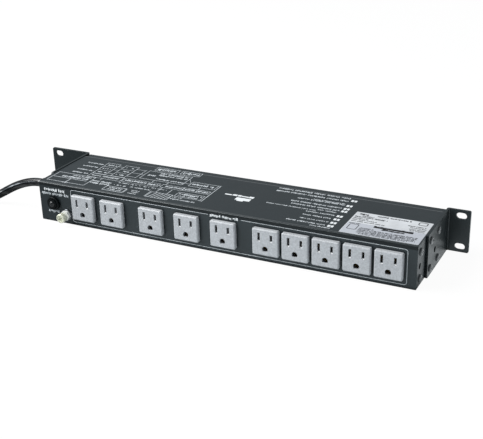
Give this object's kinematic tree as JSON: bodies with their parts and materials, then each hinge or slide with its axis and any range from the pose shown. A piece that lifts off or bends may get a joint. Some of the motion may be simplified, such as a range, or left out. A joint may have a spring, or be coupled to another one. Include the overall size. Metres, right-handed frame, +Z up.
{
  "type": "rack power strip",
  "caption": "One-unit rack power strip: folded steel case with a row of outlets, reset breaker, ground screw, side power cord with plug, and L-shaped slotted rack ears.",
  "frame": {"origin": "centre of the rack hole pattern, on the rear faces of the ears, which bear on the rack rails", "axes": "X to the right seen from the front, Y from the rack rails towards the outlets, Z up"},
  "size_m": [0.5516, 0.1774, 0.0435],
  "materials": {
    "black_screws": "black oxide, oiled",
    "board_laminate": "green solder mask",
    "breaker_black": "black phenolic",
    "button_black": "black nylon, glossy",
    "capacitor_box": "potted box",
    "case_paint": "black powder coat, fine satin texture",
    "contact_brass": "stamped brass",
    "copper_winding": "enamelled copper",
    "cord_jacket": "PVC cord jacket, semi-gloss",
    "dark_steel": "dark phosphate",
    "ear_paint": "black powder coat, fine satin texture",
    "ferrite": "coated ferrite",
    "fuse_ceramic": "ceramic",
    "insulating_paper": "fish paper",
    "label_foil": "silver-white printed foil",
    "lamp_body": "lamp holder",
    "lens_red": "clear red lens",
    "outlet_plastic": "grey nylon, moulded, fine texture",
    "plug_vinyl": "moulded vinyl, satin",
    "relief_nylon": "black nylon",
    "screw_brass": "pale plated brass, turned",
    "terminal_green": "moulded nylon",
    "varistor_blue": "epoxy dip",
    "wire_black": "PVC insulation",
    "wire_green": "PVC insulation",
    "wire_white": "PVC insulation",
    "zinc_steel": "bright zinc plate"
  },
  "bodies": {
    "case": {"base_tray": "case_paint", "board_leads": "wire_white", "board_screws": "zinc_steel", "board_standoffs": "zinc_steel", "board_terminal_block": "terminal_green", "breaker_body": "breaker_black", "breaker_lugs": "zinc_steel", "breaker_nut": "breaker_black", "choke_core": "ferrite", "choke_windings": "copper_winding", "cord_jacket": "cord_jacket", "countersunk_screws": "black_screws", "ear_screws": "black_screws", "filter_capacitors": "capacitor_box", "ground_contacts": "contact_brass", "ground_cord_conductor": "wire_green", "ground_insert": "contact_brass", "ground_lug": "zinc_steel", "ground_nut": "zinc_steel", "ground_star_washer": "dark_steel", "ground_wires": "wire_green", "indicator_lamps": "lamp_body", "indicator_lenses": "lens_red", "insulating_sheet": "insulating_paper", "line_contacts": "contact_brass", "line_cord_conductor": "wire_black", "line_wires": "wire_black", "narrow_rack_ear": "ear_paint", "neutral_contacts": "contact_brass", "neutral_cord_conductor": "wire_white", "neutral_wires": "wire_white", "outlet_01": "outlet_plastic", "outlet_02": "outlet_plastic", "outlet_03": "outlet_plastic", "outlet_04": "outlet_plastic", "outlet_05": "outlet_plastic", "outlet_06": "outlet_plastic", "outlet_07": "outlet_plastic", "outlet_08": "outlet_plastic", "outlet_09": "outlet_plastic", "outlet_10": "outlet_plastic", "outlet_rear_caps": "outlet_plastic", "plug_blades": "contact_brass", "plug_body": "plug_vinyl", "plug_ground_pin": "contact_brass", "rating_label": "label_foil", "side_clinch_nuts": "zinc_steel", "side_screws": "black_screws", "small_clinch_nuts": "zinc_steel", "strain_relief": "relief_nylon", "strain_relief_ring": "relief_nylon", "surge_board": "board_laminate", "thermal_fuse": "fuse_ceramic", "top_cover": "case_paint", "varistors": "varistor_blue", "wide_rack_ear": "ear_paint"},
    "reset_button_body": {"reset_button": "button_black"},
    "ground_washer_body": {"ground_captive_washer": "zinc_steel"},
    "ground_screw_body": {"ground_screw": "screw_brass"}
  },
  "joints": [
    {"name": "reset_button_travel", "type": "slide", "parent": "case", "child": "reset_button_body", "axis": [0, 1, 0], "range_m": [-0.0006, 0.0026]},
    {"name": "ground_screw_travel", "type": "slide", "parent": "case", "child": "ground_washer_body", "axis": [0, 1, 0], "range_m": [-0.00212, 0.00212]},
    {"name": "ground_screw_turn", "type": "hinge", "parent": "ground_washer_body", "child": "ground_screw_body", "pos_m": [0.1585, 0.0994, -0.0118], "axis": [0, 1, 0], "range_deg": [-720, 720]}
  ],
  "couplings": [
    {"joint": "ground_screw_turn", "follows": "ground_screw_travel", "rad_per_m": 5938.7}
  ]
}
